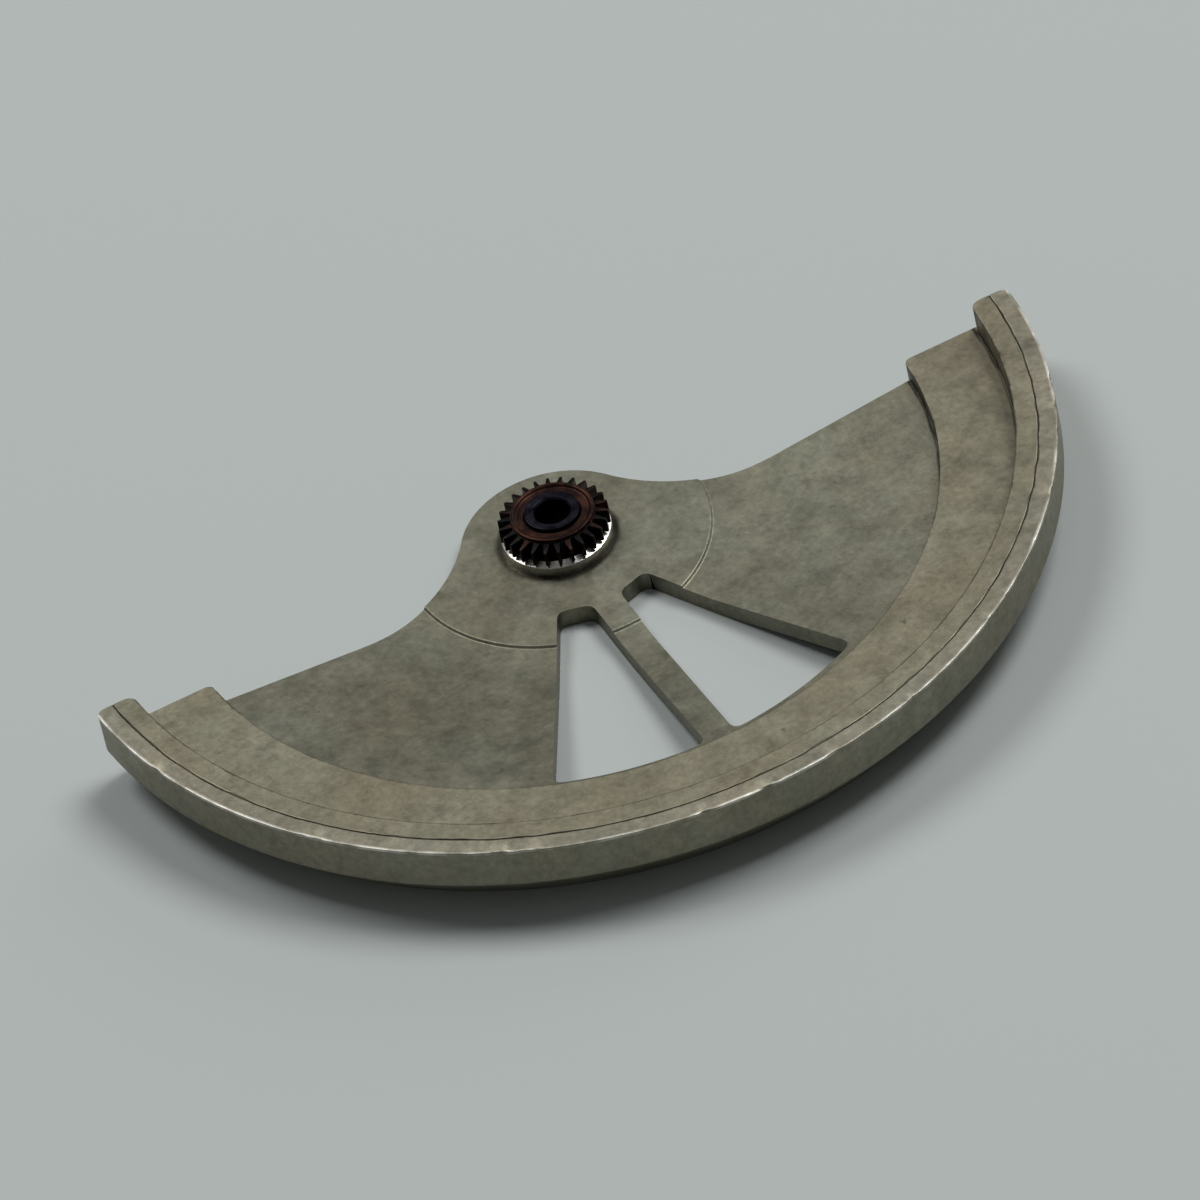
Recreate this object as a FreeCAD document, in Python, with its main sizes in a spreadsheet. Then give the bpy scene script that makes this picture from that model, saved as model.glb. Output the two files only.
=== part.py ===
import FreeCAD, Part
import math
import os
import re
import Sketcher
from FreeCAD import Vector

# Oscillating weight of a self-winding watch, lying on its outer face with the movement side up.
# +Z is the rotor axis, z = 0 is the outer face that it rests on, and the heavy rim lies towards -Y.

doc = FreeCAD.newDocument("WatchRotor")
sizes = doc.addObject("Spreadsheet::Sheet", "sizes")

# Driving dimensions in millimetres, angles in degrees and counts.
# Each width, wall and gap is its own size, and the radii and heights further down are chains of them.
DRIVING = {
    # the heavy rim segment
    "rim_outer_radius": 12.5,
    "rim_top_height": 2.14,
    "rim_wall_width": 0.48,
    "wall_foot_height": 1.06,
    "underside_bevel_width": 0.9,
    "foot_lap": 0.2,
    "foot_bevel_width": 0.25,
    "foot_bevel_height": 0.25,
    "seat_height": 0.6,
    "end_offset": 0.38,
    "edge_break": 0.05,
    # the plate with its band and raised rib
    "rib_width": 0.55,
    "rib_corner_radius": 0.3,
    "band_width": 1.97,
    "band_height": 1.36,
    "web_thickness": 0.46,
    "web_rise": 0.455,
    "boss_radius": 3.75,
    "boss_height": 0.06,
    "boss_margin": 0.85,
    "hub_radius": 2.4,
    "wing_offset": 0.62,
    "wing_fillet_radius": 4.375,
    # the two lightening windows and the spoke between them
    "spoke_width": 0.75,
    "window_inner_radius": 2.6,
    "window_margin": 0.55,
    "window_angle": 27,
    "window_corner_radius": 0.28,
    # the ball bearing in the hub, from its bore outwards
    "bore_radius": 0.44,
    "bore_countersink": 0.05,
    "sleeve_wall": 0.16,
    "nose_wall": 0.08,
    "nose_stand_out": 0.03,
    "cone_wall": 0.02,
    "cone_clearance": 0.06,
    "ball_count": 7,
    "ball_radius": 0.17,
    "ball_play": 0.015,
    "ball_height": 0.68,
    "shoulder_gap": 0.08,
    "running_gap": 0.04,
    "race_wall": 0.03,
    "spigot_wall": 0.06,
    "flange_lap": 0.16,
    "closing_depth": 0.2,
    "lip_thickness": 0.17,
    "lip_clearance": 0.03,
    # the cage between the balls
    "cage_play": 0.02,
    "cage_below": 0.08,
    "cage_above": 0.29,
    "pocket_play": 0.015,
    # the toothed ring and its cover
    "tooth_count": 26,
    "tooth_length": 0.315,
    "tooth_face_height": 0.46,
    "tooth_bevel": 0.05,
    "tooth_share_at_root": 0.62,
    "tooth_share_at_tip": 0.2,
    "pinion_wall": 0.09,
    "cover_setback": 0.02,
    "cover_height": 0.09,
    "cover_dish": 0.06,
    "cover_lip_width": 0.07,
    "cover_spigot_depth": 0.15,
    "cover_spigot_wall": 0.1,
}
for row, (alias, value) in enumerate(DRIVING.items(), start=1):
    sizes.set(f"A{row}", alias)
    sizes.set(f"B{row}", str(value))
    sizes.setAlias(f"B{row}", alias)
doc.recompute()


def sheet_words(expression):
    """The expression with the sheet's name before each alias, as objects outside the sheet need it."""
    return re.sub(r"\b(?!deg\b)[a-z_]+\b(?!\()", lambda word: "sizes." + word.group(0), expression)


def value_of(expression):
    """The number that an expression in the sheet's aliases stands for."""
    return float(sizes.evalExpression(sheet_words(expression)))


def plane_of(body, role):
    """One of a body's own origin planes."""
    return next(f for f in body.Origin.OriginFeatures if f.Role == role)


def new_body(name):
    body = doc.addObject("PartDesign::Body", name)
    body.Label = name
    return body


def new_sketch(body, name, role, height=None):
    """A sketch on one of the body's own planes, or at a height above it."""
    sketch = body.newObject("Sketcher::SketchObject", name)
    sketch.AttachmentSupport = (plane_of(body, role), [""])
    sketch.MapMode = "FlatFace"
    if height:
        sketch.setExpression("AttachmentOffset.Base.z", sheet_words(height))
    return sketch


def bind(sketch, kind, *places, size):
    """Adds a constraint whose size is an expression in the sheet's aliases."""
    index = sketch.addConstraint(Sketcher.Constraint(kind, *places, value_of(size)))
    sketch.setExpression(f"Constraints[{index}]", sheet_words(size))


def closed_outline(sketch, corners):
    """Draws straight lines through corners given as expressions, and binds each corner to the sheet."""
    points = [Vector(value_of(across), value_of(up), 0) for across, up in corners]
    count = len(points)
    for k in range(count):
        sketch.addGeometry(Part.LineSegment(points[k], points[(k + 1) % count]), False)
    for k in range(count):
        sketch.addConstraint(Sketcher.Constraint("Coincident", k, 2, (k + 1) % count, 1))
    for k, (across, up) in enumerate(corners):
        bind(sketch, "DistanceX", -1, 1, k, 1, size=across)
        if up == "0":
            sketch.addConstraint(Sketcher.Constraint("PointOnObject", k, 1, -1))
        else:
            bind(sketch, "DistanceY", -1, 1, k, 1, size=up)


def turned_body(name, corners):
    """A body turned about the rotor axis from a profile of (radius, height) corners."""
    body = new_body(name)
    profile = new_sketch(body, name + "_profile", "XZ_Plane")
    closed_outline(profile, corners)
    turning = body.newObject("PartDesign::Revolution", name + "_turning")
    turning.Profile = profile
    turning.ReferenceAxis = (profile, ["V_Axis"])
    turning.Angle = 360
    doc.recompute()
    return body


def cut_upwards(body, sketch, name):
    """Cuts a sketch through all of the body that stands over it."""
    cut = body.newObject("PartDesign::Pocket", name)
    cut.Profile = sketch
    cut.Type = 1
    cut.Reversed = True
    doc.recompute()
    return cut


def repeat_round_axis(body, feature, name, count):
    """Repeats a cut round the rotor axis, as many times as the sheet's count says."""
    pattern = body.newObject("PartDesign::PolarPattern", name)
    pattern.Originals = [feature]
    pattern.Axis = (plane_of(body, "Z_Axis"), [""])
    pattern.Angle = 360
    pattern.Occurrences = int(value_of(count))
    pattern.setExpression("Occurrences", sheet_words(count))
    body.Tip = pattern
    doc.recompute()
    return pattern


def round_upright_edges(body, name, radius, chosen):
    """Rounds the upright straight edges of the body's tip that stand where chosen says."""
    base = body.Tip
    names = []
    for number, edge in enumerate(base.Shape.Edges, start=1):
        along = edge.tangentAt(edge.FirstParameter)
        middle = edge.CenterOfMass
        if edge.Curve.TypeId == "Part::GeomLine" and abs(along.z) > 0.999 and chosen(middle):
            names.append(f"Edge{number}")
    rounding = body.newObject("PartDesign::Fillet", name)
    rounding.Base = (base, names)
    rounding.setExpression("Radius", sheet_words(radius))
    body.Tip = rounding
    doc.recompute()


# Heavy rim segment
# An L in section: the outer wall with its narrow top, and the foot that the plate lies on.
# Both ends are milled off on one straight line beside the axis.

joint_radius = "(rim_outer_radius - rim_wall_width)"
rib_inner_radius = f"({joint_radius} - rib_width)"
band_inner_radius = f"({rib_inner_radius} - band_width)"
foot_inner_radius = f"({band_inner_radius} - foot_lap)"

rim_outline = [
    (f"{foot_inner_radius} + foot_bevel_width", "0"),
    ("rim_outer_radius - underside_bevel_width", "0"),
    ("rim_outer_radius", "wall_foot_height"),
    ("rim_outer_radius", "rim_top_height - edge_break"),
    ("rim_outer_radius - edge_break", "rim_top_height"),
    (f"{joint_radius} + edge_break", "rim_top_height"),
    (joint_radius, "rim_top_height - edge_break"),
    (joint_radius, "seat_height"),
    (foot_inner_radius, "seat_height"),
    (foot_inner_radius, "foot_bevel_height"),
]
heavy_rim = turned_body("heavy_rim_segment", rim_outline)

rim_ends = new_sketch(heavy_rim, "rim_ends", "XY_Plane")
beyond = value_of("2 * rim_outer_radius")
low = -value_of("end_offset")
corners = [Vector(x, y, 0) for x, y in ((-beyond, low), (beyond, low), (beyond, beyond), (-beyond, beyond))]
for k in range(4):
    rim_ends.addGeometry(Part.LineSegment(corners[k], corners[(k + 1) % 4]), False)
for k in range(4):
    rim_ends.addConstraint(Sketcher.Constraint("Coincident", k, 2, (k + 1) % 4, 1))
rim_ends.addConstraint(Sketcher.Constraint("Vertical", 1))
rim_ends.addConstraint(Sketcher.Constraint("Horizontal", 2))
rim_ends.addConstraint(Sketcher.Constraint("Vertical", 3))
rim_ends.addConstraint(Sketcher.Constraint("Symmetric", 0, 1, 0, 2, -2))
bind(rim_ends, "DistanceX", 0, 1, 0, 2, size="4 * rim_outer_radius")
bind(rim_ends, "DistanceY", 0, 1, -1, 1, size="end_offset")
bind(rim_ends, "DistanceY", 1, 1, 1, 2, size="2 * rim_outer_radius")
cut_upwards(heavy_rim, rim_ends, "rim_end_cut")

# Radii of the bearing, from the bore outwards
# The races are 45 degree cones, so each groove's apex lies the ball's radius times root two from its centre.

sleeve_radius = "(bore_radius + sleeve_wall)"
nose_radius = f"({sleeve_radius} + nose_wall)"
inner_apex = f"({sleeve_radius} + cone_wall)"
ball_pitch_radius = f"({inner_apex} + (ball_radius + ball_play) * sqrt(2))"
outer_apex = f"({ball_pitch_radius} + (ball_radius + ball_play) * sqrt(2))"
inner_shoulder = f"({ball_pitch_radius} - shoulder_gap)"
outer_shoulder = f"({ball_pitch_radius} + shoulder_gap)"
lip_inner_radius = f"({nose_radius} + running_gap)"
pinion_spigot_radius = f"({outer_apex} + race_wall)"
spigot_radius = f"({outer_apex} + spigot_wall)"
flange_radius = f"({spigot_radius} + flange_lap)"
tooth_root_radius = f"({outer_shoulder} + pinion_wall)"
tooth_tip_radius = f"({tooth_root_radius} + tooth_length)"
cover_radius = f"({tooth_root_radius} - cover_setback)"

# Rotor plate
# One turned disc: thin dished web, thicker band over the foot of the rim, and the raised rib beside the wall.

web_flat_radius = "(boss_radius + boss_margin)"
boss_top = "(web_thickness + boss_height)"
web_slope = f"web_rise / ({band_inner_radius} - {web_flat_radius})"

plate_outline = [
    (spigot_radius, "0"),
    (web_flat_radius, "0"),
    (foot_inner_radius, f"({foot_inner_radius} - {web_flat_radius}) * {web_slope}"),
    (foot_inner_radius, "seat_height"),
    (joint_radius, "seat_height"),
    (joint_radius, "rim_top_height - edge_break"),
    (f"{joint_radius} - edge_break", "rim_top_height"),
    (f"{rib_inner_radius} + edge_break", "rim_top_height"),
    (rib_inner_radius, "rim_top_height - edge_break"),
    (rib_inner_radius, "band_height"),
    (f"{band_inner_radius} + edge_break", "band_height"),
    (band_inner_radius, "band_height - edge_break"),
    (band_inner_radius, "web_thickness + web_rise"),
    (web_flat_radius, "web_thickness"),
    ("boss_radius + boss_height", "web_thickness"),
    ("boss_radius", boss_top),
    (spigot_radius, boss_top),
]
plate = turned_body("rotor_plate", plate_outline)

# the wings' edges run straight, sweep up in a wide fillet and close over the hub in one arc
outline = new_sketch(plate, "plate_plan", "XY_Plane")
wing = value_of("wing_offset")
hub = value_of("hub_radius")
sweep = value_of("wing_fillet_radius")
step = value_of(band_inner_radius)
sweep_centre_up = sweep - wing
sweep_centre_out = math.sqrt((hub + sweep) ** 2 - sweep_centre_up**2)
touch_angle = math.atan2(sweep_centre_up, sweep_centre_out)
upright = Vector(0, 0, 1)


def arc(centre_across, centre_up, radius, first, last):
    circle = Part.Circle(Vector(centre_across, centre_up, 0), upright, radius)
    return Part.ArcOfCircle(circle, first, last)


def line(x1, y1, x2, y2):
    return Part.LineSegment(Vector(x1, y1, 0), Vector(x2, y2, 0))


outline.addGeometry(
    [
        line(-step, -wing, -sweep_centre_out, -wing),
        arc(-sweep_centre_out, sweep_centre_up, sweep, 1.5 * math.pi, 2 * math.pi - touch_angle),
        arc(0, 0, hub, touch_angle, math.pi - touch_angle),
        arc(sweep_centre_out, sweep_centre_up, sweep, math.pi + touch_angle, 1.5 * math.pi),
        line(sweep_centre_out, -wing, step, -wing),
        line(step, -wing, step, low),
        line(step, low, beyond, low),
        line(beyond, low, beyond, beyond),
        line(beyond, beyond, -beyond, beyond),
        line(-beyond, beyond, -beyond, low),
        line(-beyond, low, -step, low),
        line(-step, low, -step, -wing),
    ],
    False,
)
# each pair is (element, end) and (element, end), where end 1 is a line's or an arc's start and 2 its end
for first, first_end, second, second_end in [(0, 2, 1, 1), (1, 2, 2, 2), (2, 1, 3, 1), (3, 2, 4, 1)]:
    outline.addConstraint(Sketcher.Constraint("Tangent", first, first_end, second, second_end))
for k in range(4, 11):
    outline.addConstraint(Sketcher.Constraint("Coincident", k, 2, k + 1, 1))
outline.addConstraint(Sketcher.Constraint("Coincident", 11, 2, 0, 1))
outline.addConstraint(Sketcher.Constraint("Coincident", 2, 3, -1, 1))
for k in (0, 4, 6, 8, 10):
    outline.addConstraint(Sketcher.Constraint("Horizontal", k))
for k in (5, 7, 9, 11):
    outline.addConstraint(Sketcher.Constraint("Vertical", k))
bind(outline, "Radius", 2, size="hub_radius")
bind(outline, "Radius", 1, size="wing_fillet_radius")
outline.addConstraint(Sketcher.Constraint("Equal", 1, 3))
bind(outline, "DistanceY", 0, 1, -1, 1, size="wing_offset")
bind(outline, "DistanceX", 0, 1, -1, 1, size=band_inner_radius)
outline.addConstraint(Sketcher.Constraint("Symmetric", 0, 1, 4, 2, -2))
bind(outline, "DistanceY", 5, 2, -1, 1, size="end_offset")
outline.addConstraint(Sketcher.Constraint("Symmetric", 6, 2, 9, 2, -2))
bind(outline, "DistanceX", 8, 2, 8, 1, size="4 * rim_outer_radius")
bind(outline, "DistanceY", 7, 1, 7, 2, size="2 * rim_outer_radius")
cut_upwards(plate, outline, "plate_plan_cut")

rib_inner_edge = value_of(rib_inner_radius)
round_upright_edges(
    plate,
    "rib_end_rounding",
    "rib_corner_radius",
    lambda p: abs(math.hypot(p.x, p.y) - rib_inner_edge) < 0.02 and p.z > value_of("band_height"),
)

# one window beside the spoke: its outer and inner ends follow circles about the axis
window_outer_radius = f"({band_inner_radius} - window_margin)"
window = new_sketch(plate, "window", "XY_Plane")
spoke_side = value_of("spoke_width / 2")
near = value_of("window_inner_radius")
far = value_of(window_outer_radius)
straight_down = 1.5 * math.pi
far_side = straight_down + math.radians(value_of("window_angle"))
spoke_angle_near = straight_down + math.asin(spoke_side / near)
spoke_angle_far = straight_down + math.asin(spoke_side / far)


def on_circle(radius, angle):
    return Vector(radius * math.cos(angle), radius * math.sin(angle), 0)


window.addGeometry(
    [
        arc(0, 0, near, spoke_angle_near, far_side),
        Part.LineSegment(on_circle(near, far_side), on_circle(far, far_side)),
        arc(0, 0, far, spoke_angle_far, far_side),
        Part.LineSegment(on_circle(far, spoke_angle_far), on_circle(near, spoke_angle_near)),
    ],
    False,
)
for first, first_end, second, second_end in [(0, 2, 1, 1), (1, 2, 2, 2), (2, 1, 3, 1), (3, 2, 0, 1)]:
    window.addConstraint(Sketcher.Constraint("Coincident", first, first_end, second, second_end))
window.addConstraint(Sketcher.Constraint("Coincident", 0, 3, -1, 1))
window.addConstraint(Sketcher.Constraint("Coincident", 2, 3, -1, 1))
window.addConstraint(Sketcher.Constraint("Vertical", 3))
bind(window, "Radius", 0, size="window_inner_radius")
bind(window, "Radius", 2, size=window_outer_radius)
bind(window, "DistanceX", -1, 1, 3, 1, size="spoke_width / 2")
window.addConstraint(Sketcher.Constraint("PointOnObject", -1, 1, 1))
bind(window, "DistanceX", -1, 1, 1, 1, size="window_inner_radius * sin(window_angle * 1 deg)")
window_cut = cut_upwards(plate, window, "window_cut")
both_windows = plate.newObject("PartDesign::Mirrored", "both_windows")
both_windows.Originals = [window_cut]
both_windows.MirrorPlane = (plane_of(plate, "YZ_Plane"), [""])
plate.Tip = both_windows
doc.recompute()
window_reach = math.radians(value_of("window_angle"))
round_upright_edges(
    plate,
    "window_corner_rounding",
    "window_corner_radius",
    lambda p: p.y < -near * math.cos(window_reach) / 2 and math.hypot(p.x, p.y) < far + 0.02,
)

# Bearing
# An outer ring with its flange, an inner race with a full-height sleeve, and the cone pressed on that sleeve, which
# closes the inner groove.

flange_top = "(ball_height + closing_depth)"
groove_half_height = f"({outer_apex} - {outer_shoulder})"

outer_ring_outline = [
    (lip_inner_radius, "0"),
    (spigot_radius, "0"),
    (spigot_radius, boss_top),
    (flange_radius, boss_top),
    (flange_radius, flange_top),
    (pinion_spigot_radius, flange_top),
    (pinion_spigot_radius, "ball_height"),
    (outer_apex, "ball_height"),
    (outer_shoulder, f"ball_height - {groove_half_height}"),
    (outer_shoulder, "lip_thickness"),
    (lip_inner_radius, "lip_thickness"),
]
outer_ring = turned_body("bearing_outer_ring", outer_ring_outline)

tooth_top = f"({flange_top} + tooth_face_height)"
cover_top = f"({tooth_top} + cover_height)"
nose_top = f"({cover_top} + nose_stand_out)"
cone_top = f"({tooth_top} - cone_clearance)"

inner_race_outline = [
    ("bore_radius", "0"),
    (nose_radius, "0"),
    (nose_radius, "lip_thickness + lip_clearance"),
    (inner_shoulder, "lip_thickness + lip_clearance"),
    (inner_shoulder, f"ball_height - {groove_half_height}"),
    (inner_apex, "ball_height"),
    (sleeve_radius, "ball_height"),
    (sleeve_radius, nose_top),
    ("bore_radius + bore_countersink", nose_top),
    ("bore_radius", f"{nose_top} - bore_countersink"),
]
inner_race = turned_body("bearing_inner_race", inner_race_outline)

inner_cone_outline = [
    (sleeve_radius, "ball_height"),
    (inner_apex, "ball_height"),
    (inner_shoulder, f"ball_height + {groove_half_height}"),
    (inner_shoulder, cone_top),
    (nose_radius, cone_top),
    (nose_radius, nose_top),
    (sleeve_radius, nose_top),
]
inner_cone = turned_body("bearing_inner_cone", inner_cone_outline)

# Ball cage
# A thin crown ring: round pockets open downwards, so the balls snap in between its fingers.

cage_outline = [
    (f"{inner_shoulder} + cage_play", "ball_height - cage_below"),
    (f"{outer_shoulder} - cage_play", "ball_height - cage_below"),
    (f"{outer_shoulder} - cage_play", "ball_height + cage_above"),
    (f"{inner_shoulder} + cage_play", "ball_height + cage_above"),
]
cage = turned_body("ball_cage", cage_outline)
pocket = new_sketch(cage, "cage_pocket", "YZ_Plane")
pocket_centre = Vector(0, value_of("ball_height"), 0)
pocket.addGeometry(Part.Circle(pocket_centre, upright, value_of("ball_radius + pocket_play")), False)
pocket.addConstraint(Sketcher.Constraint("PointOnObject", 0, 3, -2))
bind(pocket, "DistanceY", -1, 1, 0, 3, size="ball_height")
bind(pocket, "Radius", 0, size="ball_radius + pocket_play")
pocket_cut = cage.newObject("PartDesign::Pocket", "cage_pocket_cut")
pocket_cut.Profile = pocket
pocket_cut.Type = 1
pocket_cut.Reversed = True
doc.recompute()
repeat_round_axis(cage, pocket_cut, "cage_pockets", "ball_count")

# Balls
# Each is a loose steel ball in its own pocket.

balls = []
for number in range(int(value_of("ball_count"))):
    ball = doc.addObject("Part::Sphere", f"bearing_ball_{number + 1}")
    ball.Label = f"bearing_ball_{number + 1}"
    ball.setExpression("Radius", sheet_words("ball_radius"))
    turn = f"{number} * 360 deg / sizes.ball_count"
    ball.setExpression("Placement.Base.x", f"{sheet_words(ball_pitch_radius)} * cos({turn})")
    ball.setExpression("Placement.Base.y", f"{sheet_words(ball_pitch_radius)} * sin({turn})")
    ball.setExpression("Placement.Base.z", "sizes.ball_height")
    balls.append(ball)

# Rotor pinion
# The toothed ring closes the bearing: its spigot carries the upper half of the outer groove.
# The teeth slope down towards their tips.

pinion_outline = [
    (pinion_spigot_radius, "ball_height"),
    (pinion_spigot_radius, flange_top),
    (tooth_tip_radius, flange_top),
    (tooth_tip_radius, f"{tooth_top} - tooth_bevel"),
    (tooth_root_radius, tooth_top),
    (outer_shoulder, tooth_top),
    (outer_shoulder, f"ball_height + {groove_half_height}"),
    (outer_apex, "ball_height"),
]
pinion = turned_body("rotor_pinion", pinion_outline)

# one gap between two teeth, cut from the flange's top upwards, so the spigot below stays whole
gap = new_sketch(pinion, "tooth_gap", "XY_Plane", flange_top)
half_pitch = "180 deg / tooth_count"
gap_at_root = f"{tooth_root_radius} * sin({half_pitch} * (1 - tooth_share_at_root))"
gap_at_tip = f"{tooth_tip_radius} * sin({half_pitch} * (1 - tooth_share_at_tip))"
gap_mouth = f"{gap_at_tip} + ({gap_at_tip} - {gap_at_root})"
mouth_radius = f"{tooth_tip_radius} + tooth_length"
root_x = value_of(tooth_root_radius)
root_y = value_of(gap_at_root)
mouth_x = value_of(mouth_radius)
mouth_y = value_of(gap_mouth)
gap.addGeometry(
    [
        line(root_x, root_y, mouth_x, mouth_y),
        line(mouth_x, mouth_y, mouth_x, -mouth_y),
        line(mouth_x, -mouth_y, root_x, -root_y),
        line(root_x, -root_y, root_x, root_y),
    ],
    False,
)
for k in range(4):
    gap.addConstraint(Sketcher.Constraint("Coincident", k, 2, (k + 1) % 4, 1))
gap.addConstraint(Sketcher.Constraint("Symmetric", 1, 1, 1, 2, -1))
gap.addConstraint(Sketcher.Constraint("Symmetric", 3, 1, 3, 2, -1))
bind(gap, "DistanceX", -1, 1, 0, 1, size=tooth_root_radius)
bind(gap, "DistanceX", -1, 1, 0, 2, size=mouth_radius)
bind(gap, "DistanceY", -1, 1, 0, 1, size=gap_at_root)
bind(gap, "DistanceY", -1, 1, 0, 2, size=gap_mouth)
gap_cut = cut_upwards(pinion, gap, "tooth_gap_cut")
repeat_round_axis(pinion, gap_cut, "tooth_gaps", "tooth_count")

# Cover ring
# A bronze ring pressed into the top of the pinion, with a raised outer lip and a dished face.

cover_spigot_inner = f"({outer_shoulder} - cover_spigot_wall)"
cover_outline = [
    (lip_inner_radius, tooth_top),
    (cover_spigot_inner, tooth_top),
    (cover_spigot_inner, f"{tooth_top} - cover_spigot_depth"),
    (outer_shoulder, f"{tooth_top} - cover_spigot_depth"),
    (outer_shoulder, tooth_top),
    (cover_radius, tooth_top),
    (cover_radius, f"{cover_top} - edge_break / 2"),
    (f"{cover_radius} - edge_break / 2", cover_top),
    (f"{cover_radius} - cover_lip_width", cover_top),
    (f"{cover_radius} - cover_lip_width - cover_dish", f"{cover_top} - cover_dish"),
    (lip_inner_radius, f"{cover_top} - cover_dish"),
]
cover = turned_body("bearing_cover_ring", cover_outline)

# Checks and files

doc.recompute()
pieces = [heavy_rim, plate, outer_ring, inner_race, inner_cone, cage, pinion, cover] + balls
for item in doc.Objects:
    if "Invalid" in item.State or "Error" in item.State:
        raise RuntimeError(f"{item.Name} did not build: {item.State}")
for piece in pieces:
    if piece.Shape.isNull() or not piece.Shape.isValid() or len(piece.Shape.Solids) != 1:
        raise RuntimeError(f"{piece.Label} is not one valid solid")

os.makedirs("parts", exist_ok=True)
for piece in pieces:
    piece.Shape.exportStep(f"parts/{piece.Label}.step")
    box = piece.Shape.BoundBox
    reach = f"z {box.ZMin:.3f} to {box.ZMax:.3f}, x up to {box.XMax:.3f}"
    print(f"{piece.Label}: {piece.Shape.Volume:.4f} mm3, {reach}")
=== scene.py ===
import math

import bpy
from mathutils import Matrix, Vector, noise


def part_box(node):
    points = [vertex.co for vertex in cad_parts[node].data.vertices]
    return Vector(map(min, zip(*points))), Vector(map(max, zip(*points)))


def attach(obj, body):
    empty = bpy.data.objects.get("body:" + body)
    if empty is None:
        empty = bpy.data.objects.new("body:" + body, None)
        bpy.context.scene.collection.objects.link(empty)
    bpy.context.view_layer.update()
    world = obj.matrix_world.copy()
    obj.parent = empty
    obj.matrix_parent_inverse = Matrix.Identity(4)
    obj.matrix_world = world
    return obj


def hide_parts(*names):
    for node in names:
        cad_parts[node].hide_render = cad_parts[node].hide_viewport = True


# Oscillating weight of a self-winding watch, lying on its outer face with the pinion up.
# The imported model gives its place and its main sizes, and everything here is in metres in the same frame.

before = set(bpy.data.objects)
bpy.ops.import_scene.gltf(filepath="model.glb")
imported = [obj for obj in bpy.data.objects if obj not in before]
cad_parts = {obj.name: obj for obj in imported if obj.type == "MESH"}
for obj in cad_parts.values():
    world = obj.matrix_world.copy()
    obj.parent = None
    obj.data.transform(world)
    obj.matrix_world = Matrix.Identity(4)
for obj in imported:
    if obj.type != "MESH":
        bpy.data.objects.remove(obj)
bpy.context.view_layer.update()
bpy.ops.object.select_all(action="DESELECT")
mm = 0.001

# Rotor plate
# The thin dished plate that carries the whole rotor, turned from one blank with the thicker band over the rim's foot
# and the raised rib beside the rim's wall. Its wings and lightening windows are then cut out in plan.

rim_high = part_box("heavy_rim_segment")[1]
plate_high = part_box("rotor_plate")[1]
end_line = rim_high.y
rim_radius = math.hypot(rim_high.x, end_line)
joint_radius = math.hypot(plate_high.x, end_line)
rim_top = rim_high.z
rib_radius = joint_radius - 0.55 * mm
band_radius = rib_radius - 1.97 * mm
foot_radius = band_radius - 0.2 * mm
seat_height = 0.6 * mm
band_height = 1.36 * mm
web_thickness = 0.46 * mm
web_rise = 0.455 * mm
web_flat_radius = 4.6 * mm
boss_radius = 3.75 * mm
boss_height = 0.06 * mm
web_slope = web_rise / (band_radius - web_flat_radius)
hub_hole_radius = 1.203 * mm
hub_radius = 2.4 * mm
wing_line = -0.62 * mm
wing_sweep = 4.375 * mm
web_bend = 0.4 * mm
soft_edge = 0.03 * mm
weld_distance = 0.0005 * mm
smooth_angle = math.radians(50)


def drawn_line(name, corners):
    """A new piece that is one line through the corners, each drawn on from the last."""
    bpy.ops.object.select_all(action="DESELECT")
    bpy.ops.mesh.primitive_plane_add(size=mm)
    piece = bpy.context.object
    piece.name = name
    bpy.ops.object.mode_set(mode="EDIT")
    bpy.ops.mesh.select_mode(type="VERT")
    bpy.ops.mesh.merge(type="CENTER")
    bpy.ops.transform.translate(value=corners[0])
    for here, there in zip(corners, corners[1:]):
        bpy.ops.mesh.extrude_vertices_move(TRANSFORM_OT_translate={"value": Vector(there) - Vector(here)})
    return piece


def curve_through(start, corner, end, count):
    """Points of the smooth bend that leaves start towards the corner and arrives at end."""
    shares = [k / count for k in range(count + 1)]
    return [
        tuple((1 - t) ** 2 * a + 2 * t * (1 - t) * b + t * t * c for a, b, c in zip(start, corner, end))
        for t in shares
    ]


def eased(section, width):
    """The section with its corners rounded by the width, and a point beside each round that keeps the flats flat."""
    points = []
    for before, here, after in zip(section[-1:] + section[:-1], section, section[1:] + section[:1]):
        here = Vector(here)
        back, on = Vector(before) - here, Vector(after) - here
        reach = min(width, 0.25 * back.length, 0.25 * on.length)
        back, on = reach * back.normalized(), reach * on.normalized()
        bend = curve_through(here + back, here, here + on, 3)
        points += [tuple(here + 1.7 * back)] + bend + [tuple(here + 1.7 * on)]
    return points


def turned(name, section, steps, edge):
    """A lathe-turned piece: the half section as (radius, height) corners, eased and spun about the rotor axis."""
    corners = [(radius, 0, height) for radius, height in eased(section, edge)]
    piece = drawn_line(name, corners + corners[:1])
    bpy.ops.mesh.select_all(action="SELECT")
    bpy.ops.mesh.remove_doubles(threshold=weld_distance)
    bpy.ops.mesh.spin(steps=steps, angle=math.tau, center=(0, 0, 0), axis=(0, 0, 1))
    bpy.ops.mesh.select_all(action="SELECT")
    bpy.ops.mesh.remove_doubles(threshold=weld_distance)
    bpy.ops.mesh.normals_make_consistent(inside=False)
    bpy.ops.object.mode_set(mode="OBJECT")
    bpy.ops.object.shade_smooth_by_angle(angle=smooth_angle)
    return piece


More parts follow.
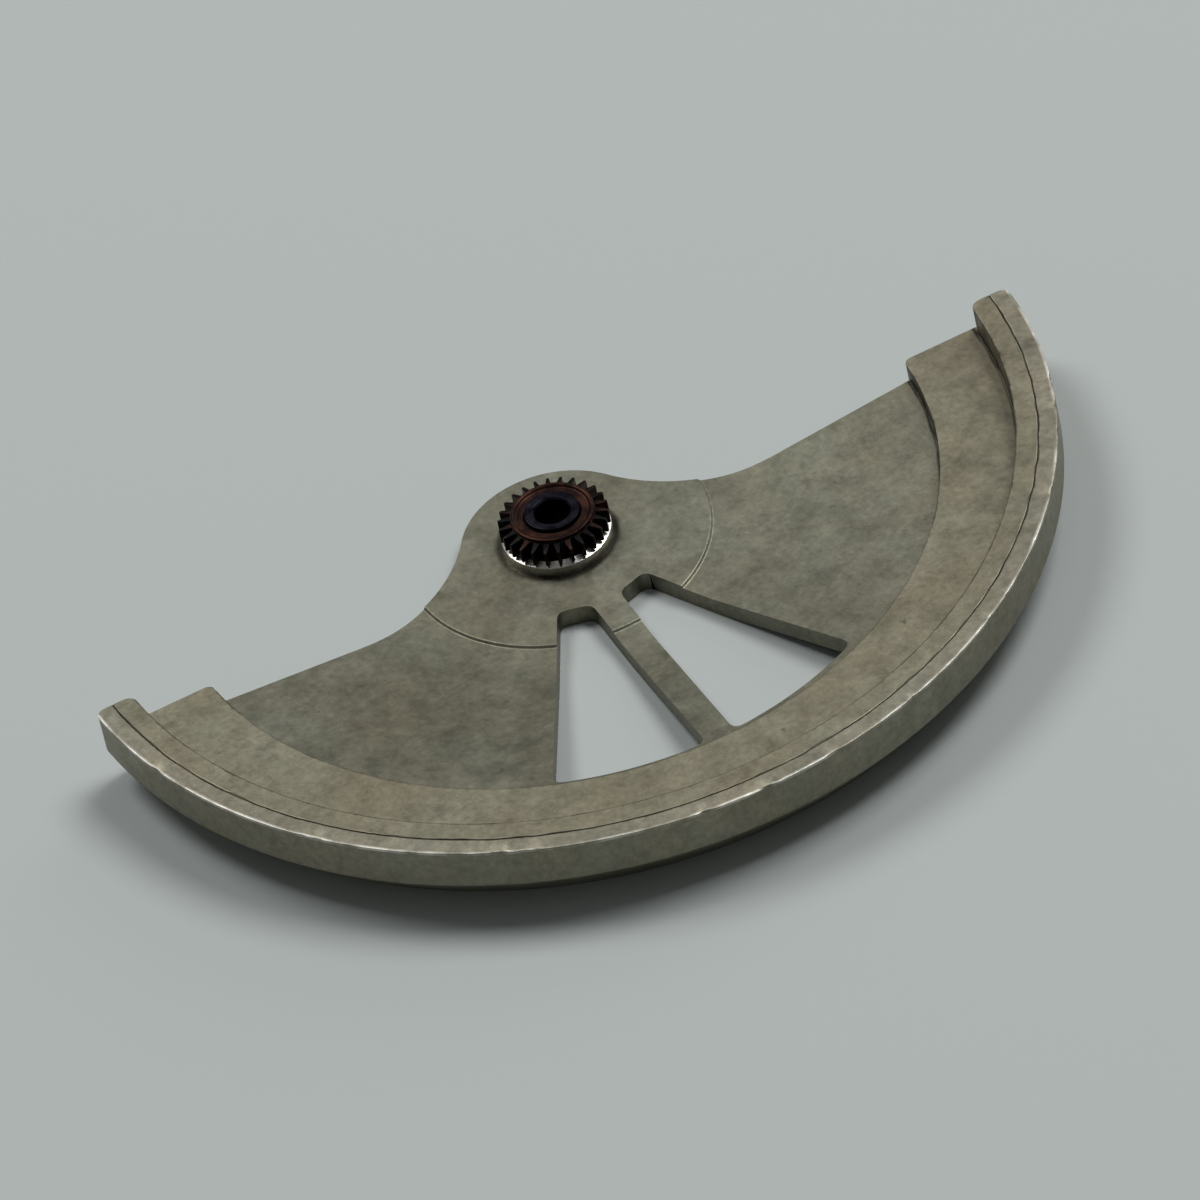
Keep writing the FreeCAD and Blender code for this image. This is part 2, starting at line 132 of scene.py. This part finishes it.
def punch(name, outline, low=-mm):
    """A cutter from low upwards: the plan outline filled and pulled up."""
    tool = drawn_line(name, [(x, y, low) for x, y in outline])
    bpy.ops.mesh.select_all(action="SELECT")
    bpy.ops.mesh.edge_face_add()
    bpy.ops.mesh.extrude_region_move(TRANSFORM_OT_translate={"value": (0, 0, 5 * mm)})
    bpy.ops.mesh.select_all(action="SELECT")
    bpy.ops.mesh.normals_make_consistent(inside=False)
    bpy.ops.object.mode_set(mode="OBJECT")
    return tool


def cut_with(piece, tool):
    """Cuts the tool's shape out of the piece and throws the tool away."""
    cut = piece.modifiers.new("cut", "BOOLEAN")
    cut.operation = "DIFFERENCE"
    cut.solver = "EXACT"
    cut.object = tool
    bpy.context.view_layer.objects.active = piece
    bpy.ops.object.modifier_apply(modifier="cut")
    bpy.data.objects.remove(tool)
    bpy.ops.object.select_all(action="DESELECT")
    piece.select_set(True)
    bpy.ops.object.shade_smooth_by_angle(angle=smooth_angle)


def arc_points(centre, radius, first, last, count):
    """Points along an arc, both ends included."""
    turns = [first + (last - first) * k / count for k in range(count + 1)]
    return [(centre[0] + radius * math.cos(t), centre[1] + radius * math.sin(t)) for t in turns]


def across_down(side, radius, angle):
    """The plan point at the radius, turned by the angle from the middle of the rim towards one side."""
    return (side * radius * math.sin(angle), -radius * math.cos(angle))


def along_circle(side, radius, first, last, count):
    return [across_down(side, radius, first + (last - first) * k / count) for k in range(count + 1)]


def round_end(piece, side, radius, corner, outward, low=-mm):
    """Rounds in plan the corner between a turned wall and the end line. The metal lies outward (1) or inward (-1)."""
    wall_end = math.sqrt(radius**2 - end_line**2)
    corner_turn = math.atan2(wall_end, -end_line) - corner / radius
    on_wall = across_down(side, radius, corner_turn)
    on_end = (side * (wall_end + outward * corner), end_line)
    outline = curve_through(on_wall, (side * wall_end, end_line), on_end, 8) + [
        (on_end[0], end_line + spare),
        (side * (wall_end - outward * spare), end_line + spare),
        across_down(side, radius - outward * spare, corner_turn),
    ]
    cut_with(piece, punch("end_cutter", outline, low))


class Metal:
    """A procedural metal under construction: nodes are added and joined by name, on object coordinates."""

    def __init__(self, name):
        self.material = bpy.data.materials.new(name)
        self.material.use_nodes = True
        self.tree = self.material.node_tree
        self.surface = self.tree.nodes["Principled BSDF"]
        self.surface.inputs["Metallic"].default_value = 1.0
        self.place = self.tree.nodes.new("ShaderNodeTexCoord").outputs["Object"]

    def feed(self, socket, value):
        """Links another node's output to the socket, or sets a constant on it."""
        if isinstance(value, bpy.types.NodeSocket):
            self.tree.links.new(value, socket)
        else:
            socket.default_value = value

    def node(self, kind, settings=(), **inputs):
        """A new node. Its inputs are given by their labels, or by their places as _0, _1 and so on."""
        made = self.tree.nodes.new("ShaderNode" + kind)
        for key, value in dict(settings).items():
            setattr(made, key, value)
        for key, value in inputs.items():
            socket = int(key[1:]) if key[1:].isdigit() else key.replace("_", " ")
            self.feed(made.inputs[socket], value)
        return made

    def calculate(self, operation, first, second=0.0):
        return self.node("Math", {"operation": operation}, _0=first, _1=second).outputs[0]

    def radius(self):
        flat = self.node("VectorMath", {"operation": "MULTIPLY"}, _0=self.place, _1=(1, 1, 0)).outputs[0]
        return self.node("VectorMath", {"operation": "LENGTH"}, _0=flat).outputs["Value"]

    def height(self):
        return self.node("SeparateXYZ", Vector=self.place).outputs["Z"]

    def noise(self, scale, detail=4.0, roughness=0.55, distortion=0.0):
        made = self.node(
            "TexNoise", Vector=self.place, Scale=scale, Detail=detail, Roughness=roughness, Distortion=distortion
        )
        return made.outputs["Fac"]

    def rings(self, scale, detail=3.0):
        """Noise that changes only with the distance from the rotor axis, as a turning tool leaves it."""
        radius = self.radius()
        made = self.node("TexNoise", {"noise_dimensions": "1D"}, W=radius, Scale=scale, Detail=detail, Roughness=0.6)
        return made.outputs["Fac"]

    def ramp(self, value, low, high, first=0.0, last=1.0):
        """The value carried over from the span low to high to the span first to last, and held at its ends."""
        return self.node("MapRange", {"clamp": True}, Value=value, _1=low, _2=high, _3=first, _4=last).outputs[0]

    def blend(self, share, first, second, how="MIX"):
        return self.node("Mix", {"data_type": "RGBA", "blend_type": how}, _0=share, _6=first, _7=second).outputs[2]

    def relief(self, height, depth, below=None):
        made = self.node("Bump", Height=height, Distance=depth)
        if below:
            self.feed(made.inputs["Normal"], below)
        return made.outputs["Normal"]

    def finish(self, colour, roughness, normal=None):
        self.feed(self.surface.inputs["Base Color"], colour)
        self.feed(self.surface.inputs["Roughness"], roughness)
        if normal:
            self.feed(self.surface.inputs["Normal"], normal)
        return self.material


def tarnished_metal(name, light, dark, inner_shade):
    """Satin metal browned with age: blotches, specks, a greyer web, dirt in the rim joint, painted shade at the feet
    of the steps and round the flange, and a worn outer edge that also carries a painted highlight.
    """
    metal = Metal(name)
    radius = metal.radius()
    blotches = metal.ramp(metal.noise(700, detail=8, roughness=0.68, distortion=0.3), 0.38, 0.62)
    clouds = metal.ramp(metal.noise(220, detail=5, roughness=0.6), 0.35, 0.68)
    colour = metal.blend(metal.calculate("MULTIPLY", blotches, clouds), dark, light)
    specks = metal.ramp(metal.noise(5200, detail=3, roughness=0.7), 0.3, 0.7, 0.8, 1.16)
    grey = metal.node("CombineColor", _0=specks, _1=specks, _2=specks).outputs[0]
    colour = metal.blend(1.0, colour, grey, "MULTIPLY")
    cool_share = metal.ramp(metal.noise(480, detail=5, roughness=0.6), 0.35, 0.65)
    tint = metal.blend(cool_share, (1.03, 0.99, 0.96, 1), (0.97, 1.0, 1.0, 1))
    colour = metal.blend(1.0, colour, tint, "MULTIPLY")
    in_web = metal.ramp(radius, band_radius - 0.05 * mm, band_radius + 0.05 * mm, 1.0, 0.0)
    colour = metal.blend(in_web, colour, metal.blend(1.0, colour, inner_shade, "MULTIPLY"))
    pits = metal.ramp(metal.noise(1900, detail=4, roughness=0.7), 0.7, 0.76)
    colour = metal.blend(metal.calculate("MULTIPLY", pits, 0.6), colour, (0.05, 0.045, 0.035, 1))
    wobble = metal.ramp(metal.noise(1300, detail=4), 0.3, 0.7, -0.03 * mm, 0.03 * mm)
    strength = metal.ramp(metal.noise(900, detail=3), 0.35, 0.6, 0.65, 1.0)
    # Four dark lines round the axis. The first is dirt in the joint between plate and rim. The other three are painted
    # shade: at the foot of the rib's inner wall, at the foot of the band's step down to the web, and round the foot of
    # the bearing flange.
    for line_radius, half_width in (
        (joint_radius, 0.035 * mm),
        (rib_radius - 0.03 * mm, 0.075 * mm),
        (band_radius - 0.04 * mm, 0.07 * mm),
        (hub_hole_radius + 0.22 * mm, 0.16 * mm),
    ):
        offset = metal.calculate("SUBTRACT", metal.calculate("ADD", radius, wobble), line_radius)
        dirt_and_shade_line = metal.ramp(metal.calculate("ABSOLUTE", offset), 0.3 * half_width, half_width, 1.0, 0.0)
        colour = metal.blend(metal.calculate("MULTIPLY", dirt_and_shade_line, strength), colour, (0.03, 0.028, 0.022, 1))
    # A bright line along the rim's outer top edge: worn bare metal, and also a painted highlight for the light that
    # this edge catches.
    near_edge = metal.ramp(radius, rim_radius - 0.09 * mm, rim_radius - 0.05 * mm)
    on_top = metal.ramp(metal.height(), rim_top - 0.08 * mm, rim_top - 0.04 * mm)
    worn = metal.calculate("MULTIPLY", near_edge, on_top)
    worn = metal.calculate("MULTIPLY", worn, metal.ramp(metal.noise(1100), 0.4, 0.6, 0.1, 0.85))
    colour = metal.blend(worn, colour, (0.66, 0.64, 0.58, 1))
    normal = metal.relief(metal.rings(5000, detail=1), 0.0012 * mm)
    normal = metal.relief(metal.noise(7000, detail=4, roughness=0.65), 0.006 * mm, normal)
    roughness = metal.ramp(metal.noise(1400, detail=4), 0.3, 0.7, 0.42, 0.58)
    return metal.finish(colour, roughness, normal)


plate = turned(
    "plate",
    [
        (hub_hole_radius, 0),
        (web_flat_radius, 0),
        (foot_radius, (foot_radius - web_flat_radius) * web_slope),
        (foot_radius, seat_height),
        (joint_radius, seat_height),
        (joint_radius, rim_top),
        (rib_radius, rim_top),
        (rib_radius, band_height),
        (band_radius, band_height),
        (band_radius, web_thickness + web_rise),
        *curve_through(
            (web_flat_radius + web_bend, web_thickness + web_bend * web_slope),
            (web_flat_radius, web_thickness),
            (web_flat_radius - web_bend, web_thickness),
            8,
        ),
        (boss_radius + boss_height, web_thickness),
        (boss_radius, web_thickness + boss_height),
        (hub_hole_radius, web_thickness + boss_height),
    ],
    steps=360,
    edge=soft_edge,
)
sweep_up = wing_line + wing_sweep
sweep_out = math.sqrt((hub_radius + wing_sweep) ** 2 - sweep_up**2)
touch = math.atan2(sweep_up, sweep_out)
far_out = 2 * rim_radius
plan_outline = (
    [(-far_out, end_line), (-band_radius, end_line), (-band_radius, wing_line)]
    + arc_points((-sweep_out, sweep_up), wing_sweep, 1.5 * math.pi, math.tau - touch, 24)
    + arc_points((0, 0), hub_radius, math.pi - touch, touch, 64)[1:-1]
    + arc_points((sweep_out, sweep_up), wing_sweep, math.pi + touch, 1.5 * math.pi, 24)
    + [(band_radius, wing_line), (band_radius, end_line), (far_out, end_line), (far_out, far_out), (-far_out, far_out)]
)
cut_with(plate, punch("plan_cutter", plan_outline))

spoke_half = 0.375 * mm
window_inner = 2.6 * mm
window_outer = band_radius - 0.55 * mm
window_side = math.radians(27)
window_corner = 0.28 * mm
near_corner = math.asin(spoke_half / window_inner)
far_corner = math.asin(spoke_half / window_outer)
rib_corner, band_corner = 0.3 * mm, 0.22 * mm
spare = 0.1 * mm
corner_in, corner_out = window_corner / window_inner, window_corner / window_outer
for side in (-1, 1):
    spoke_near = (side * spoke_half, -window_inner * math.cos(near_corner) - window_corner)
    spoke_far = (side * spoke_half, -window_outer * math.cos(far_corner) + window_corner)
    inner_arc = along_circle(side, window_inner, near_corner + corner_in, window_side - corner_in, 16)
    outer_arc = along_circle(side, window_outer, window_side - corner_out, far_corner + corner_out, 40)
    side_near = across_down(side, window_inner + window_corner, window_side)
    side_far = across_down(side, window_outer - window_corner, window_side)
    window = (
        curve_through(spoke_near, across_down(side, window_inner, near_corner), inner_arc[0], 6)
        + inner_arc[1:-1]
        + curve_through(inner_arc[-1], across_down(side, window_inner, window_side), side_near, 6)
        + curve_through(side_far, across_down(side, window_outer, window_side), outer_arc[0], 6)
        + outer_arc[1:-1]
        + curve_through(outer_arc[-1], across_down(side, window_outer, far_corner), spoke_far, 6)
    )
    cut_with(plate, punch("window_cutter", window))
    round_end(plate, side, rib_radius, rib_corner, 1, band_height)
    round_end(plate, side, band_radius, band_corner, 1)
plate_metal = tarnished_metal(
    "plate_metal", light=(0.295, 0.275, 0.207, 1), dark=(0.222, 0.206, 0.15, 1), inner_shade=(0.85, 0.89, 0.92, 1)
)
plate.data.materials.append(plate_metal)
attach(plate, "rotor")
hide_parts("rotor_plate")

# Heavy rim segment
# The weight proper: a half ring, L-shaped in section, pressed round the plate. Its outer wall is bevelled underneath
# and nicked along its top, and both ends are milled off on one line beside the axis.

foot_bevel = 0.25 * mm
underside_bevel = 0.9 * mm
wall_foot_height = 1.06 * mm
nick_reach = 0.12 * mm
deepest_nick = 0.08 * mm
rim = turned(
    "heavy_rim",
    [
        (foot_radius + foot_bevel, 0),
        (rim_radius - underside_bevel, 0),
        (rim_radius, wall_foot_height),
        (rim_radius, rim_top),
        (joint_radius, rim_top),
        (joint_radius, seat_height),
        (foot_radius, seat_height),
        (foot_radius, foot_bevel),
    ],
    steps=720,
    edge=soft_edge,
)
bpy.ops.object.mode_set(mode="EDIT")
bpy.ops.mesh.select_all(action="SELECT")
bpy.ops.mesh.bisect(
    plane_co=(0, end_line, 0), plane_no=(0, 1, 0), use_fill=True, clear_outer=True, threshold=0.0001 * mm
)
bpy.ops.object.mode_set(mode="OBJECT")
for side in (-1, 1):
    round_end(rim, side, rim_radius, rib_corner, -1)
outer_edge = Vector((rim_radius, rim_top))
for corner in rim.data.vertices:
    apart = (Vector((corner.co.xy.length, corner.co.z)) - outer_edge).length
    if apart < nick_reach and corner.co.y < end_line - 0.01 * mm:
        wear = noise.noise(corner.co / (0.7 * mm)) + 0.6 * noise.noise(corner.co / (0.16 * mm))
        nick = min(max(wear - 0.2, 0) * 2, 1) * deepest_nick * (1 - apart / nick_reach)
        corner.co.xy *= 1 - nick / rim_radius
        corner.co.z -= 0.6 * nick
bpy.ops.object.shade_smooth_by_angle(angle=smooth_angle)
# The rim's copy of the tarnished metal is painted a little lighter than the plate's. This painted light stands in for
# the light on the rim's outer wall.
rim_metal = tarnished_metal(
    "rim_metal", light=(0.32, 0.3, 0.236, 1), dark=(0.24, 0.226, 0.174, 1), inner_shade=(1, 1, 1, 1)
)
rim.data.materials.append(rim_metal)
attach(rim, "rotor")
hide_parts("heavy_rim_segment")

# Outer ring of the bearing
# A polished steel ring riveted in the plate's hub. Its flange stands on the hub and shows as a bright band below the
# teeth, and its bore holds the lower half of the ball groove.

ball_radius = 0.17 * mm
groove_depth = (ball_radius + 0.015 * mm) * math.sqrt(2)
bore_radius = 0.44 * mm
sleeve_radius = bore_radius + 0.16 * mm
nose_radius = sleeve_radius + 0.08 * mm
inner_apex = sleeve_radius + 0.02 * mm
pitch_radius = inner_apex + groove_depth
outer_apex = pitch_radius + groove_depth
inner_shoulder = pitch_radius - 0.08 * mm
outer_shoulder = pitch_radius + 0.08 * mm
lip_radius = nose_radius + 0.04 * mm
lip_thickness = 0.17 * mm
ball_height = 0.68 * mm
groove_rise = outer_apex - outer_shoulder
spigot_bore = outer_apex + 0.03 * mm
flange_radius = hub_hole_radius + 0.16 * mm
flange_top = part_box("bearing_outer_ring")[1].z
flange_bevel_width, flange_bevel_height = 0.17 * mm, 0.085 * mm
boss_top = web_thickness + boss_height

outer_ring = turned(
    "outer_ring",
    [
        (lip_radius, 0),
        (hub_hole_radius, 0),
        (hub_hole_radius, boss_top),
        (flange_radius, boss_top),
        (flange_radius, flange_top - flange_bevel_height),
        (flange_radius - flange_bevel_width, flange_top),
        (spigot_bore, flange_top),
        (spigot_bore, ball_height),
        (outer_apex, ball_height),
        (outer_shoulder, ball_height - groove_rise),
        (outer_shoulder, lip_thickness),
        (lip_radius, lip_thickness),
    ],
    steps=192,
    edge=0.012 * mm,
)
polish = Metal("polished_steel")
stain = polish.ramp(polish.noise(2600, detail=4, distortion=0.4), 0.42, 0.62)
outer_ring.data.materials.append(
    polish.finish(
        polish.blend(stain, (0.7, 0.66, 0.6, 1), (0.92, 0.9, 0.87, 1)),
        polish.ramp(polish.noise(6000), 0.3, 0.7, 0.22, 0.34),
        polish.relief(polish.noise(5200, detail=2), 0.006 * mm),
    )
)
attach(outer_ring, "rotor")
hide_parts("bearing_outer_ring")

# Rotor pinion
# The toothed ring of dark oxidised steel that drives the winding train and closes the ball groove from above. Its 26
# pointed teeth slope down towards their tips. One tooth is modelled and copied round.

tooth_count = 26
tooth_turn = math.tau / tooth_count
root_radius = outer_shoulder + 0.09 * mm
tip_radius = root_radius + 0.315 * mm
tooth_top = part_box("rotor_pinion")[1].z
root_share, tip_share = 0.62, 0.2
tip_drop = 0.05 * mm
crisp_angle = math.radians(28)


def select_where(piece, wanted):
    """Selects, in edit mode, the vertices of the active piece for which wanted(place) is true."""
    bpy.ops.mesh.select_mode(type="VERT")
    bpy.ops.mesh.select_all(action="DESELECT")
    bpy.ops.object.mode_set(mode="OBJECT")
    for vertex in piece.data.vertices:
        vertex.select = wanted(vertex.co)
    bpy.ops.object.mode_set(mode="EDIT")


tooth_section = [
    (root_radius, ball_height + groove_rise - (root_radius - outer_shoulder)),
    (root_radius, flange_top),
    (root_radius, tooth_top),
    (outer_shoulder, tooth_top),
    (outer_shoulder, ball_height + groove_rise),
]
gap_half = tooth_turn * (1 - root_share) / 2
first_corners = [(r * math.cos(tooth_turn / 2), -r * math.sin(tooth_turn / 2), h) for r, h in tooth_section]
pinion = drawn_line("pinion", first_corners + first_corners[:1])
bpy.ops.mesh.select_all(action="SELECT")
bpy.ops.mesh.remove_doubles(threshold=2 * weld_distance)
for sweep, steps in ((gap_half, 2), (tooth_turn * root_share, 4), (gap_half, 2)):
    bpy.ops.mesh.spin(steps=steps, angle=-sweep, center=(0, 0, 0), axis=(0, 0, 1))
half_root = root_radius * math.sin(tooth_turn / 2 * root_share)
half_tip = tip_radius * math.sin(tooth_turn / 2 * tip_share)
slack = 0.002 * mm
select_where(
    pinion,
    lambda at: at.xy.length > root_radius - slack and at.z > flange_top - slack and abs(at.y) < half_root + slack,
)
bpy.ops.mesh.extrude_region_move(TRANSFORM_OT_translate={"value": (tip_radius - root_radius, 0, 0)})
bpy.ops.transform.resize(value=(1, half_tip / half_root, 1), center_override=(0, 0, 0))
select_where(pinion, lambda at: at.xy.length > tip_radius - 10 * slack and at.z > tooth_top - slack)
bpy.ops.transform.translate(value=(0, 0, -tip_drop))
bpy.ops.mesh.select_all(action="SELECT")
for _ in range(tooth_count - 1):
    bpy.ops.mesh.duplicate()
    bpy.ops.transform.rotate(value=tooth_turn, orient_axis="Z", center_override=(0, 0, 0))
bpy.ops.mesh.select_all(action="SELECT")
bpy.ops.mesh.remove_doubles(threshold=weld_distance)
bpy.ops.mesh.normals_make_consistent(inside=False)
bpy.ops.object.mode_set(mode="OBJECT")
bpy.ops.object.select_all(action="DESELECT")
pinion.select_set(True)
bpy.context.view_layer.objects.active = pinion
bpy.ops.object.shade_smooth_by_angle(angle=crisp_angle)
bevel = pinion.modifiers.new("edges", "BEVEL")
bevel.width = 0.012 * mm
bevel.segments = 2
bevel.limit_method = "ANGLE"
bevel.angle_limit = crisp_angle
bevel.harden_normals = True
bpy.ops.object.modifier_apply(modifier="edges")
black = Metal("dark_steel")
rust = black.ramp(black.noise(3000, detail=5), 0.45, 0.7)
pinion.data.materials.append(
    black.finish(
        black.blend(rust, (0.012, 0.011, 0.011, 1), (0.05, 0.024, 0.017, 1)),
        black.ramp(black.noise(5000), 0.3, 0.7, 0.3, 0.5),
        black.relief(black.noise(7000, detail=3), 0.005 * mm),
    )
)
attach(pinion, "rotor")
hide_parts("rotor_pinion")

# Cover ring
# A thin bronze ring pressed into the top of the pinion, which keeps dust out of the balls. Its outer lip stands proud
# and its face is dished towards the bore.

cover_radius = root_radius - 0.02 * mm
cover_top = tooth_top + 0.09 * mm
cover_dish = 0.06 * mm
cover_lip = 0.07 * mm
cover_spigot = outer_shoulder - 0.1 * mm
cover_spigot_depth = 0.15 * mm
cover = turned(
    "cover_ring",
    [
        (lip_radius, tooth_top),
        (cover_spigot, tooth_top),
        (cover_spigot, tooth_top - cover_spigot_depth),
        (outer_shoulder, tooth_top - cover_spigot_depth),
        (outer_shoulder, tooth_top),
        (cover_radius, tooth_top),
        (cover_radius, cover_top),
        (cover_radius - cover_lip, cover_top),
        (cover_radius - cover_lip - cover_dish, cover_top - cover_dish),
        (lip_radius, cover_top - cover_dish),
    ],
    steps=160,
    edge=0.018 * mm,
)
bronze = Metal("brown_bronze")
worn = bronze.ramp(bronze.noise(1800, detail=5, distortion=0.3), 0.4, 0.68)
cover.data.materials.append(
    bronze.finish(
        bronze.blend(worn, (0.022, 0.012, 0.011, 1), (0.085, 0.036, 0.024, 1)),
        bronze.ramp(bronze.noise(4000), 0.3, 0.7, 0.34, 0.5),
        bronze.relief(bronze.rings(22000), 0.003 * mm),
    )
)
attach(cover, "rotor")
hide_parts("bearing_cover_ring")

# Inner race and its cone
# The still half of the bearing: a sleeve with the lower cone, and the upper cone pressed on it. Its plain bore takes
# the fixing screw, and only its dark blued nose shows inside the cover ring.

nose_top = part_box("bearing_inner_race")[1].z
cone_top = tooth_top - 0.06 * mm
race_clear = lip_thickness + 0.03 * mm
countersink = 0.05 * mm
race_sections = {
    "bearing_inner_race": [
        (bore_radius, 0),
        (nose_radius, 0),
        (nose_radius, race_clear),
        (inner_shoulder, race_clear),
        (inner_shoulder, ball_height - groove_rise),
        (inner_apex, ball_height),
        (sleeve_radius, ball_height),
        (sleeve_radius, nose_top),
        (bore_radius + countersink, nose_top),
        (bore_radius, nose_top - countersink),
    ],
    "bearing_inner_cone": [
        (sleeve_radius, ball_height),
        (inner_apex, ball_height),
        (inner_shoulder, ball_height + groove_rise),
        (inner_shoulder, cone_top),
        (nose_radius, cone_top),
        (nose_radius, nose_top),
        (sleeve_radius, nose_top),
    ],
}
blued = Metal("blued_steel")
bloom = blued.ramp(blued.noise(2500, detail=4), 0.4, 0.65)
race_metal = blued.finish(
    blued.blend(bloom, (0.01, 0.01, 0.016, 1), (0.028, 0.027, 0.038, 1)),
    blued.ramp(blued.noise(5000), 0.3, 0.7, 0.28, 0.42),
    blued.relief(blued.rings(24000), 0.002 * mm),
)
for node, section in race_sections.items():
    race = turned(node.replace("bearing", "steel"), section, steps=160, edge=0.006 * mm)
    race.data.materials.append(race_metal)
    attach(race, "inner_race")
    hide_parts(node)

# Balls and cage
# Seven hard steel balls in a crown cage of pressed brass. They lie closed in between the races, so their own solids
# are kept and only get their finish.

brass = Metal("cage_brass")
cage_metal = brass.finish(
    brass.blend(brass.noise(3000), (0.6, 0.42, 0.18, 1), (0.72, 0.55, 0.27, 1)),
    brass.ramp(brass.noise(6000), 0.3, 0.7, 0.25, 0.4),
)
chrome = Metal("ball_steel")
ball_metal = chrome.finish(
    chrome.blend(chrome.noise(2000), (0.72, 0.72, 0.74, 1), (0.8, 0.8, 0.82, 1)),
    chrome.ramp(chrome.noise(8000), 0.3, 0.7, 0.05, 0.1),
)
for name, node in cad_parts.items():
    if name == "ball_cage" or name.startswith("bearing_ball_"):
        node.data.materials.clear()
        node.data.materials.append(cage_metal if name == "ball_cage" else ball_metal)

# Floor and light
# A plain pale table, lit by two wide soft lamps, one above and behind to the left and one above to the right, and by a
# weak low card behind to the right.

bpy.ops.object.select_all(action="DESELECT")
bpy.ops.mesh.primitive_plane_add(size=1.2)
table = bpy.context.object
table.name = "table"
table_paint = bpy.data.materials.new("table_paint")
table_paint.use_nodes = True
paint = table_paint.node_tree.nodes["Principled BSDF"]
paint.inputs["Base Color"].default_value = (0.445, 0.479, 0.468, 1)
paint.inputs["Roughness"].default_value = 0.8
table.data.materials.append(table_paint)

world = bpy.data.worlds.new("studio")
bpy.context.scene.world = world
world.use_nodes = True
world.node_tree.nodes["Background"].inputs["Color"].default_value = (0.97, 1.0, 1.0, 1)
world.node_tree.nodes["Background"].inputs["Strength"].default_value = 0.14

lamp_distance = 0.6
for lamp_name, lamp_turn, lamp_lift, lamp_size, lamp_energy in (
    ("left_box", math.radians(116), math.radians(54), 0.26, 1.4),
    ("right_box", math.radians(10), math.radians(60), 0.3, 1.95),
    ("side_card", math.radians(30), math.radians(25), 0.3, 0.4),
):
    lamp_data = bpy.data.lights.new(lamp_name, "AREA")
    lamp_data.shape = "DISK"
    lamp_data.size = lamp_size
    lamp_data.energy = lamp_energy
    lamp = bpy.data.objects.new(lamp_name, lamp_data)
    bpy.context.scene.collection.objects.link(lamp)
    across = math.cos(lamp_lift)
    lamp.location = (
        lamp_distance * across * math.cos(lamp_turn),
        lamp_distance * across * math.sin(lamp_turn),
        lamp_distance * math.sin(lamp_lift),
    )
    lamp.rotation_euler = (-lamp.location).to_track_quat("-Z", "Y").to_euler()

# Camera
# A long lens from in front, a little left and well above, held slightly tilted as the photograph was.

turn = Matrix.Rotation(math.radians(-17.75), 3, "Z")
tilt = math.radians(42.353)
roll = math.radians(-12.977)
away = 375 * mm
to_right, to_down = 1.1075 * mm, 1.8888 * mm
right = turn @ Vector((math.cos(roll), math.sin(tilt) * math.sin(roll), math.cos(tilt) * math.sin(roll)))
down = turn @ Vector((math.sin(roll), -math.sin(tilt) * math.cos(roll), -math.cos(tilt) * math.cos(roll)))
forward = turn @ Vector((0, math.cos(tilt), -math.sin(tilt)))
wall_foot = Vector((0, 0, wall_foot_height))
place = wall_foot + to_right * right + to_down * down - away * forward
camera_data = bpy.data.cameras.new("camera")
camera_data.sensor_width = 36
camera_data.lens = 463.78
camera_data.clip_start = 0.01
camera_data.clip_end = 10
camera = bpy.data.objects.new("camera", camera_data)
bpy.context.scene.collection.objects.link(camera)
axes = Matrix((right, -down, -forward)).transposed()
camera.matrix_world = Matrix.Translation(place) @ axes.to_4x4()
bpy.context.scene.camera = camera
bpy.context.scene.view_settings.view_transform = "Standard"
